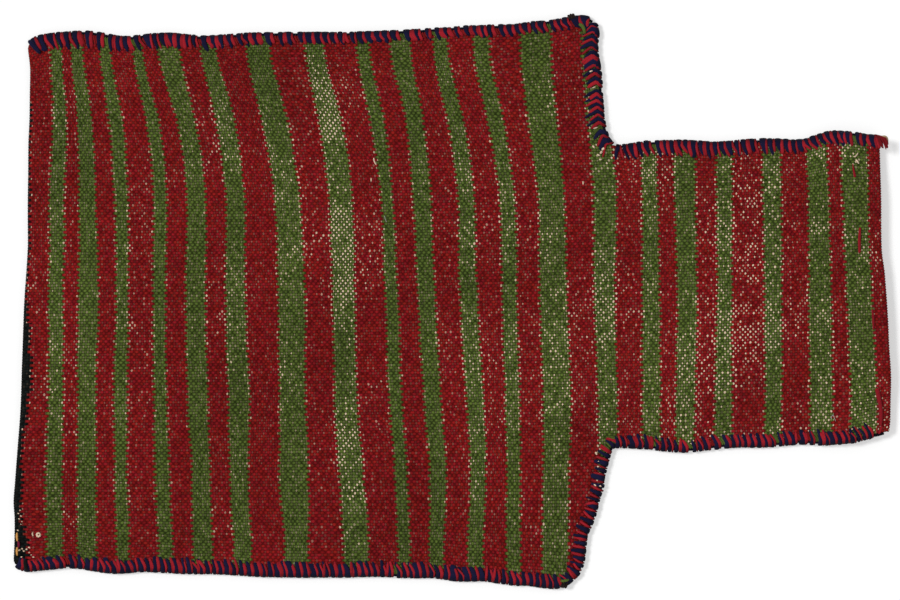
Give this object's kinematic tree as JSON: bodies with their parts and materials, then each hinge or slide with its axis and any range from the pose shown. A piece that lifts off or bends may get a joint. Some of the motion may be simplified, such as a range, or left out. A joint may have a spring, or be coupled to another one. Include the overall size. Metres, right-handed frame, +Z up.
{
  "type": "flat-woven salt bag",
  "caption": "Flat-woven wool salt bag with red and green stripes: a wide body and a narrow open neck, folded from one cloth and overcast along its edges, lying flat and empty.",
  "frame": {"origin": "on the underside of the lower layer, at the middle of the bag's length and width, on the plane it lies on", "axes": "+X from the fold along the warp to the neck and its mouth, +Y across towards the upper long edge of the picture, +Z up from the underside through both layers"},
  "size_m": [0.6041, 0.4013, 0.0164],
  "materials": {
    "striped_cloth": "coarse wool plain weave, madder red with leaf green bands and ivory warp showing",
    "overcast_yarn": "plied wool yarn, navy and red stitches by turns",
    "tack_yarn": "plied wool yarn, bright red",
    "knot_yarn": "plied wool yarn, dark brown"
  },
  "bodies": {
    "root": {"woven_bag_cloth": "striped_cloth", "side_overcast_upper": "overcast_yarn", "side_overcast_lower": "overcast_yarn", "shoulder_overcast_upper": "overcast_yarn", "shoulder_overcast_lower": "overcast_yarn", "neck_overcast_upper": "overcast_yarn", "neck_overcast_lower": "overcast_yarn", "hem_tack_upper": "tack_yarn", "hem_tack_middle": "tack_yarn", "hem_tack_lower": "tack_yarn", "hem_tack_corner": "tack_yarn", "mouth_corner_tuft": "tack_yarn", "corner_knot_upper": "knot_yarn", "corner_knot_lower": "knot_yarn"}
  },
  "joints": []
}
